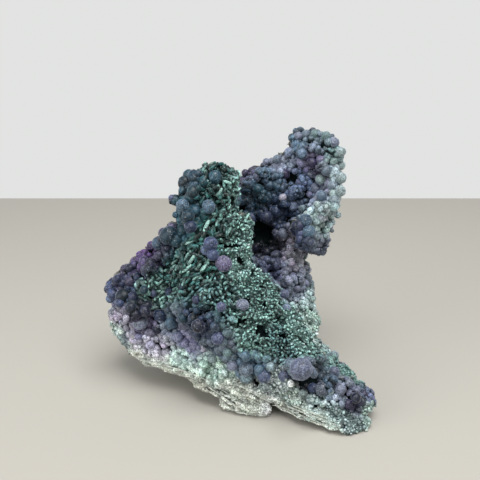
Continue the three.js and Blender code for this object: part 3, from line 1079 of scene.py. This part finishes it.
# %% Heads on the clusters
UPPER_THROWS = 7000
UPPER_SPACING = 0.8
UPPER_SIZES = (0.8, 1.2)
UPPER_LIFTS = (0.6, 1.0)
CLUSTER_SIZE = 5 * MM
MOST_BACKWARDS = 0.2
MOST_UPWARDS = 0.65

upper = Darts(UPPER_THROWS)
upper.keep((upper.broken < 0.3) & (upper.pits < 0.2) & (waves(upper.at, CLUSTER_SIZE, 31) > 0))
upper.keep((upper.out[:, 1] < MOST_BACKWARDS) & (upper.out[:, 2] < MOST_UPWARDS))
upper.keep((upper.grapes > 0.6) | (upper.fused * random.random(len(upper.at)) > 0.7))
upper.radius = upper.size * MM * random.uniform(*UPPER_SIZES, len(upper.at))
upper.lift = upper.radius * random.uniform(*UPPER_LIFTS, len(upper.at))
grape_darts.append(upper.keep(ground_with_singles().throw(upper.at, upper.radius, UPPER_SPACING)))
grapes = {name: np.concatenate([getattr(darts, name) for darts in grape_darts]) for name in vars(upper)}
print(len(grapes["at"]), "grapes,", len(upper.at), "of them on top")

# %% Colour and join the grapes
SHADE_SIZE = 4 * MM
GRAPE_SHADES = (0.6, 1.25)
GRAPE_STRETCH = (0.82, 1.15)
GRAPE_PAINTED_HIGHLIGHT = 0.6
GRAPE_LEVELS = (-0.6, 0.5)
GRAPE_PAINTED_FOOT_SHADE = 0.1
FUSED_PAINTED_FOOT_EXTRA = 0.25
PALEST = 0.9
BACK_FROM = 12 * MM


def varied(colours, places, least, most, own=0.12, hue=0.05):
    """Each copy's shade of its patch's colour, much like its neighbours' and a little its own."""
    shared = least + (most - least) * cloud(places, SHADE_SIZE, 41)
    shade = shared[:, None] * random.uniform(1 - own, 1 + own, (len(colours), 1))
    return np.clip(colours * shade * random.uniform(1 - hue, 1 + hue, (len(colours), 3)), 0, PALEST)


def foot_in_painted_shade(top, colours, least, gap, by_paleness=0.4):
    """The colour of each copy's foot, painted darker as shade: a dark share of its top with some painted
    gap shade, and less dark where the stone is pale.
    """
    return GAP_PAINTED_SHADE * gap + top * (least + by_paleness * paleness(colours))


grape_top = varied(grapes["colour"], grapes["at"], *GRAPE_SHADES)
# Painted shade at each grape's foot, less where the grapes are fused, and a painted highlight band above
# it.
painted_foot_shade = GRAPE_PAINTED_FOOT_SHADE + FUSED_PAINTED_FOOT_EXTRA * grapes["fused"][:, None]
grape_painted_foot = foot_in_painted_shade(grape_top, grapes["colour"], painted_foot_shade, gap=1)
grape_level = np.clip(-grapes["lift"] / grapes["radius"], *GRAPE_LEVELS)
grape_sizes = grapes["radius"][:, None] * random.uniform(*GRAPE_STRETCH, (len(grape_top), 3))
grape_spots = grapes["at"] + grapes["out"] * grapes["lift"][:, None]
at_back = grape_spots[:, 1] > BACK_FROM
for name, which in (("front_grapes", ~at_back), ("back_grapes", at_back)):
    piece = strew(
        name, small_grape, grape_spots[which], grapes["out"][which],
        grape_sizes[which], grape_painted_foot[which], grape_top[which], grape_level[which], GRAPE_PAINTED_HIGHLIGHT,
    )
    finish_piece(piece, purple_skin)

# %% [markdown]
# ## The sprigs
#
# Over the horn and the slope the stone is sea green and grew as short rounded rods. A first layer lies
# close to the crust, painted dark as the shade under a second layer on top of it, which is painted paler
# as lit. In the middle of the slope the rods are longest and all point up and to the right.

# %% Throw the sprigs
GROWS_TOWARDS = np.array((0.75, -0.2, 0.62))
LONG_PIXEL = (203, 258)
LONG_AT, _ = seat(crust_tree, LONG_PIXEL)
LONG_WITHIN = 11 * MM
SPRIG_CLEARANCE = 1.2
SPRIG_STRAYS = 0.6
SPRIG_FOOT = 1.3
SPRIG_LEVEL = -0.7
SPRIG_PAINTED_FOOT_SHADE = 0.08
SPRIG_PAINTED_TIP_LIGHT = 1.25
SPRIG_PALEST = 0.6
SPRIG_FLATNESS = (0.75, 1)
PALE_RODS = 0.15
PALE_ROD_COLOUR = PALETTE["light_mint"] * 0.8


def sprig_layer(name, ground, throws, spacing, stand, radius, length, shades, raised):
    """One layer of rods. stand is how steeply they stand, and raised how far they start off the crust."""
    darts = Darts(throws)
    darts.keep((darts.broken < 0.5) & (darts.pits < 0.5))
    darts.keep(mostly(darts.sprigs))
    darts.radius = darts.size * MM * random.uniform(*radius, len(darts.at))
    darts.keep(ground.throw(darts.at, darts.radius * SPRIG_CLEARANCE, spacing))
    count = len(darts.at)
    long_share = np.exp(-(np.linalg.norm(darts.at - np.array(LONG_AT), axis=1) / LONG_WITHIN) ** 2)
    along = GROWS_TOWARDS * long_share[:, None] + random.normal(0, SPRIG_STRAYS, (count, 3))
    along = unit(along - darts.out * (along * darts.out).sum(axis=1)[:, None])
    out = unit(along + darts.out * random.uniform(*stand, count)[:, None])
    half_length = darts.radius * random.uniform(*length, count) * (0.9 + 0.5 * long_share) * darts.size**0.3
    top = varied(darts.colour, darts.at, *shades, own=0.35)
    palest = random.random(count) < PALE_RODS
    top[palest] = (top[palest] + PALE_ROD_COLOUR) / 2
    # Painted shade at each rod's foot, and its tip painted paler as lit.
    low = foot_in_painted_shade(top, darts.colour, SPRIG_PAINTED_FOOT_SHADE, gap=0.5)
    top = np.clip(top * SPRIG_PAINTED_TIP_LIGHT, 0, SPRIG_PALEST)
    half_depth = darts.radius * random.uniform(*SPRIG_FLATNESS, count)
    sizes = np.column_stack([darts.radius, half_depth, half_length])
    spots = darts.at + darts.out * darts.radius[:, None] * raised
    piece = strew(name, sprig, spots, out, sizes, low, top, SPRIG_LEVEL, foot=SPRIG_FOOT)
    finish_piece(piece, green_skin)


# Painted light and shade: the low layer's dark shades stand for the shade under the high layer, whose pale
# shades stand for lit rods.
sprig_layer(
    "low_sprigs", grape_ground, 60000, spacing=0.85, stand=(0.0, 0.6), radius=(0.55, 0.8),
    length=(1.5, 2.4), shades=(0.15, 0.5), raised=0.0,
)
sprig_layer(
    "high_sprigs", ground_with_singles(), 30000, spacing=1.05, stand=(0.0, 0.7), radius=(0.48, 0.7),
    length=(1.9, 3.1), shades=(0.75, 1.7), raised=1.0,
)

# %% The rods that stand out
SEEN_RODS = [
    ((189, 264), (195, 255), 3.6), ((183, 272), (191, 265), 3.4), ((197, 261), (203, 255), 3.2),
    ((176, 252), (182, 248), 3.2), ((186, 244), (193, 241), 3.0), ((201, 271), (208, 264), 3.2),
    ((172, 264), (178, 259), 3.0), ((206, 286), (211, 279), 3.0), ((193, 280), (199, 275), 2.8),
    ((204, 231), (209, 221), 3.8), ((209, 222), (215, 213), 3.6), ((214, 215), (223, 209), 3.0),
    ((202, 185), (208, 181), 3.4), ((224, 181), (231, 184), 3.2), ((229, 192), (235, 196), 3.4),
    ((217, 196), (222, 189), 3.2), ((190, 190), (194, 197), 2.8), ((244, 222), (249, 214), 2.4),
    ((236, 216), (242, 211), 2.4), ((226, 236), (231, 228), 3.0), ((157, 285), (163, 280), 2.6),
    ((214, 252), (221, 247), 2.6),
]
ROD_LEANS_BACK = 0.3
ROD_STANDS_OFF = 2.2
ROD_END = 0.4
ROD_SHADES = (0.6, 1.1)
ROD_PAINTED_FOOT_SHADE = 0.7
ROD_LEVEL = -0.8


def seated_rod(start, end, pixels):
    """Where a rod between two pixels sits, which way it points and how thick and long it is."""
    first, second = (Vector(seat(crust_tree, pixel)[0]) for pixel in (start, end))
    half_width = pixels_to_length(pixels / 2, first)
    along = second - first
    along -= along.dot(AHEAD) * AHEAD * (1 - ROD_LEANS_BACK)
    middle = (first + second) / 2 - AHEAD * half_width * ROD_STANDS_OFF
    half_length = max(along.length / 2, half_width) + half_width * ROD_END
    return middle, along.normalized(), (half_width, half_width, half_length)


rod_at, rod_along, rod_sizes = map(np.array, zip(*(seated_rod(*rod) for rod in SEEN_RODS)))
rod_colour = PALETTE["light_mint"] * random.uniform(*ROD_SHADES, (len(rod_at), 1))
# Each rod's foot is painted darker as shade.
rods = strew(
    "long_rods", sprig, rod_at, rod_along, rod_sizes, rod_colour * ROD_PAINTED_FOOT_SHADE, rod_colour, ROD_LEVEL
)
finish_piece(rods, green_skin)

# %% [markdown]
# ## Druse and flakes
#
# Towards the broken edges the grapes give way to a druse: a coat of crystals like coarse sugar. The broken
# faces themselves are grainy too, and their layers end in thin flakes that lie the way the layers dip.

# %% Throw the crystals
BACK_SHARE = 0.2
LOWEST_CRYSTAL = 0.6 * MM
CRYSTAL_CELL = 2 * MM
CRYSTAL_LEVEL = -0.5
CRYSTAL_PAINTED_FOOT_SHADE = 0.4
CRYSTAL_STRETCH = (0.7, 1.3)
CRYSTAL_LIFTS = (0.0, 0.8)
DARK_SHADE = 0.3
GLINT_BRIGHTENING = 1.4
GLINT_LIFT = 0.05


def crystal_layer(name, throws, share, radius, spacing, shades, dark_share, painted_glint_share):
    darts = Darts(throws)
    darts.keep((darts.at[:, 2] > LOWEST_CRYSTAL) & (darts.pits < 0.8) & (darts.crevice < 0.4))
    darts.keep(mostly(getattr(darts, share)))
    if share == "broken":
        darts.keep((darts.rim > 0.5) | (random.random(len(darts.at)) < BACK_SHARE))
    darts.radius = MM * random.uniform(*radius, len(darts.at))
    darts.keep(Ground(CRYSTAL_CELL).throw(darts.at, darts.radius, spacing))
    count = len(darts.at)
    top = varied(darts.tint if share == "broken" else darts.colour, darts.at, *shades, own=0.3)
    drawn = random.random(count)
    top[drawn < dark_share] *= DARK_SHADE
    # A few crystals are painted near white as glints.
    palest = drawn > 1 - painted_glint_share
    top[palest] = np.clip(top[palest] * GLINT_BRIGHTENING + GLINT_LIFT, 0, 0.8)
    sizes = darts.radius[:, None] * random.uniform(*CRYSTAL_STRETCH, (count, 3))
    spots = darts.at + darts.out * darts.radius[:, None] * random.uniform(*CRYSTAL_LIFTS, count)[:, None]
    # Each crystal's foot is painted darker as shade.
    low = foot_in_painted_shade(top, darts.colour, CRYSTAL_PAINTED_FOOT_SHADE, gap=0, by_paleness=0.35)
    piece = strew(name, crystal, spots, darts.out, sizes, low, top, CRYSTAL_LEVEL, smooth=False)
    finish_piece(piece, crystal_skin)


crystal_layer(
    "druse", 130000, "druse", radius=(0.3, 0.7), spacing=0.75, shades=(0.75, 1.3),
    dark_share=0.1, painted_glint_share=0.1,
)
crystal_layer(
    "broken_grains", 60000, "broken", radius=(0.2, 0.4), spacing=1.1, shades=(0.8, 1.3),
    dark_share=0.1, painted_glint_share=0.06,
)

# %% Throw the flakes
FLAKE_THROWS = 16000
FLAKE_RADIUS = (0.6 * MM, 1.4 * MM)
FLAKE_WIDTHS = (0.6, 1)
FLAKE_THICKNESS = (0.196 * MM, 0.448 * MM)
FLAKE_SUNK = 0.4 * MM
FLAKE_SPACING = 0.62
FLAKE_TILT = 0.12
FLAKE_SHADES = (0.65, 1.15)
FLAKE_PAINTED_FOOT_SHADE = 0.5
FLAKE_LEVEL = -0.4
LOWEST_FLAKE = 1 * MM
MOST_LEVEL = 0.85

darts = Darts(FLAKE_THROWS)
darts.keep((darts.at[:, 2] > LOWEST_FLAKE) & (darts.broken > 0.7) & (np.abs(darts.out[:, 2]) < MOST_LEVEL))
darts.keep(darts.crevice < 0.4)
darts.radius = random.uniform(*FLAKE_RADIUS, len(darts.at))
darts.keep(Ground().throw(darts.at, darts.radius, FLAKE_SPACING))
count = len(darts.at)
layer_up = unit(np.array((LAYER_DIP, 0, 1)) + random.normal(0, FLAKE_TILT, (count, 3)))
flake_top = varied(darts.colour, darts.at, *FLAKE_SHADES, own=0.3)
flake_thickness = random.uniform(*FLAKE_THICKNESS, count)
flake_widths = darts.radius * random.uniform(*FLAKE_WIDTHS, count)
# Each flake's foot is painted darker as shade.
flakes = strew(
    "rim_flakes", flake, darts.at - darts.out * FLAKE_SUNK, layer_up,
    np.column_stack([darts.radius, flake_widths, flake_thickness]),
    flake_top * FLAKE_PAINTED_FOOT_SHADE, flake_top, FLAKE_LEVEL, smooth=False,
)
finish_piece(flakes, crystal_skin)

# %% [markdown]
# ## The broken sheets of the rim
#
# Along the lower rim the crust broke across its layers, so their edges run side by side like the leaves of
# a closed book. Each leaf is a strip that follows a line of the photograph: its points are seated on the
# crust, nudged so that the edge is ragged, and joined to a thin strip that reaches into the stone.

# %% Lines of the photograph along which a leaf breaks off
RIM_LINES = [
    [(113, 340), (122, 350), (130, 356), (140, 363), (162, 369), (184, 378), (202, 384)],
    [(124, 348), (140, 359), (162, 366), (184, 375), (204, 382)],
    [(150, 361), (168, 366), (186, 372), (206, 380), (214, 384)],
    [(204, 386), (209, 392), (221, 400), (230, 408), (249, 417), (262, 417), (272, 413)],
    [(206, 385), (214, 391), (226, 399), (236, 406), (250, 412), (264, 412)],
    [(211, 384), (222, 390), (234, 398), (246, 405), (258, 409)],
    [(222, 385), (234, 390), (246, 398), (258, 404), (268, 408)],
    [(234, 384), (246, 389), (256, 395), (270, 402), (284, 409)],
    [(272, 405), (288, 414), (300, 419), (314, 425), (328, 429), (340, 431)],
    [(274, 403), (290, 411), (304, 416), (318, 422), (332, 427), (342, 430)],
    [(280, 404), (296, 410), (312, 416), (326, 421), (338, 426)],
    [(290, 405), (304, 410), (318, 415), (330, 419)],
]

# %% Build the leaves
LEAF_STEP = 0.7
LEAF_THICKNESS = 0.42 * MM
LEAF_DEPTH = 2.2 * MM
LEAF_OUT = 1.1 * MM
LEAF_SIDES = np.array([(0, 1), (1, 0.7), (1, -0.7), (0, -1)])
LEAF_EVENED = 6
LEAF_UNEVEN = 0.35 * MM
LEAF_TAPER = 6
LEAF_INNER_PAINTED_SHADE = 0.3


def leaf_of(number, line):
    """The points and colours of one leaf: four points around its section at each step along its line."""
    pixels = along_line(line, LEAF_STEP)
    middles = np.array([seat(crust_tree, pixel)[0] for pixel in pixels])
    for _ in range(LEAF_EVENED):
        middles[1:-1] = (middles[:-2] + middles[1:-1] + middles[2:]) / 3
    ragged = 0.9 * waves(middles, 1.6 * MM, 60 + number) + 0.5 * waves(middles, 6 * MM, 61)
    ragged_out = LEAF_OUT * (0.6 + ragged)
    ragged_up = LEAF_UNEVEN * waves(middles, 3 * MM, 80 + number)
    steps = np.arange(len(pixels))
    taper = np.clip(np.minimum(steps, steps[::-1]) / LEAF_TAPER, 0.1, 1)
    tone = 0.55 + 0.45 * cloud(middles, 2.5 * MM, 90 + number, contrast=1)
    up = np.array((LAYER_DIP, 0.0, 1.0))
    points, colours = [], []
    for index, (middle, pixel) in enumerate(zip(middles, pixels)):
        towards = -np.array(sight(pixel))
        for out_share, up_share in LEAF_SIDES:
            reach = ragged_out[index] * taper[index] if out_share else -LEAF_DEPTH
            rise = up_share * LEAF_THICKNESS * taper[index] + ragged_up[index]
            x, y, z = middle + towards * reach + up * rise
            points.append((x, y, max(z, 0)))
            # The points reaching into the stone are painted dark as the shade between the leaves.
            colours.append(PALETTE["off_white"] * tone[index] * (1.0 if out_share else LEAF_INNER_PAINTED_SHADE))
    return points, colours


def faces_along(first, steps):
    """The faces of a strip that starts at a point and has four points a step, closed at both ends."""
    faces = []
    for here in range(first, first + (steps - 1) * 4, 4):
        for side in range(4):
            other = (side + 1) % 4
            faces.append((here + side, here + 4 + side, here + 4 + other, here + other))
    last = first + (steps - 1) * 4
    faces.append(tuple(first + side for side in range(4)))
    faces.append(tuple(last + side for side in (3, 2, 1, 0)))
    return faces


leaf_points, leaf_faces, leaf_colours = [], [], []
for number, line in enumerate(RIM_LINES):
    points, colours = leaf_of(number, line)
    leaf_faces += faces_along(len(leaf_points), len(points) // 4)
    leaf_points += points
    leaf_colours += colours
leaf_mesh = bpy.data.meshes.new("rim_leaves")
leaf_mesh.from_pydata(leaf_points, [], leaf_faces)
paint(leaf_mesh, "tint", np.array(leaf_colours))
leaves = add_object("rim_leaves", leaf_mesh)
in_edit_mode(leaves)
bpy.ops.mesh.normals_make_consistent(inside=False)
out_of_edit_mode()
finish_piece(leaves, crystal_skin)

# %% Put the models away
for model in models:
    bpy.data.objects.remove(model)

# %% [markdown]
# ## Floor and light
#
# The specimen stands on a plain pale floor, which ends where the photograph's surface meets the wall. One
# large soft lamp hangs above it and a weaker one stands to the left. The room itself gives most of the
# light: pale at the height of the eye and dimmer overhead, so that the hollows of the stone stay dark.

# %% Floor
FLOOR_COLOUR = (0.43, 0.41, 0.365)
FLOOR_ROUGHNESS = 0.8
FLOOR_HALF = 2
FLOOR_END = 0.256
FLOOR_CORNERS = [(x, y, 0) for y in (-FLOOR_HALF, FLOOR_END) for x in (-FLOOR_HALF, FLOOR_HALF)]

floor = start_from(bpy.ops.mesh.primitive_plane_add, "floor", size=1)
move_to(floor.data, FLOOR_CORNERS)
floor_paint = bpy.data.materials.new("floor_paint")
floor_paint.use_nodes = True
floor_shader = floor_paint.node_tree.nodes["Principled BSDF"]
floor_shader.inputs["Base Color"].default_value = (*FLOOR_COLOUR, 1)
floor_shader.inputs["Roughness"].default_value = FLOOR_ROUGHNESS
floor.data.materials.append(floor_paint)


# %% Lamps
def softbox(name, at, size, watts):
    bpy.ops.object.light_add(type="AREA", location=at)
    lamp = bpy.context.object
    lamp.name = name
    lamp.data.size = size
    lamp.data.energy = watts
    lamp.rotation_euler = (-Vector(at)).to_track_quat("-Z", "Y").to_euler()


softbox("key", (0.1, -0.2, 0.62), size=0.5, watts=5)
softbox("fill", (-0.55, -0.35, 0.25), size=0.5, watts=2.4)

# %% The room's light
HORIZON = (0.12, (0.76, 0.77, 0.76, 1))
OVERHEAD = (0.5, (0.4, 0.41, 0.42, 1))

world = bpy.data.worlds.new("studio")
bpy.context.scene.world = world
world.use_nodes = True
world_nodes = world.node_tree.nodes
world_links = world.node_tree.links
direction = world_nodes.new("ShaderNodeTexCoord")
parts = world_nodes.new("ShaderNodeSeparateXYZ")
ramp = world_nodes.new("ShaderNodeValToRGB")
for stop, (height, colour) in zip(ramp.color_ramp.elements, (HORIZON, OVERHEAD)):
    stop.position = height
    stop.color = colour
world_links.new(direction.outputs["Generated"], parts.inputs["Vector"])
world_links.new(parts.outputs["Z"], ramp.inputs["Fac"])
world_links.new(ramp.outputs["Color"], world_nodes["Background"].inputs["Color"])
bpy.context.scene.view_settings.view_transform = "Standard"

# %% [markdown]
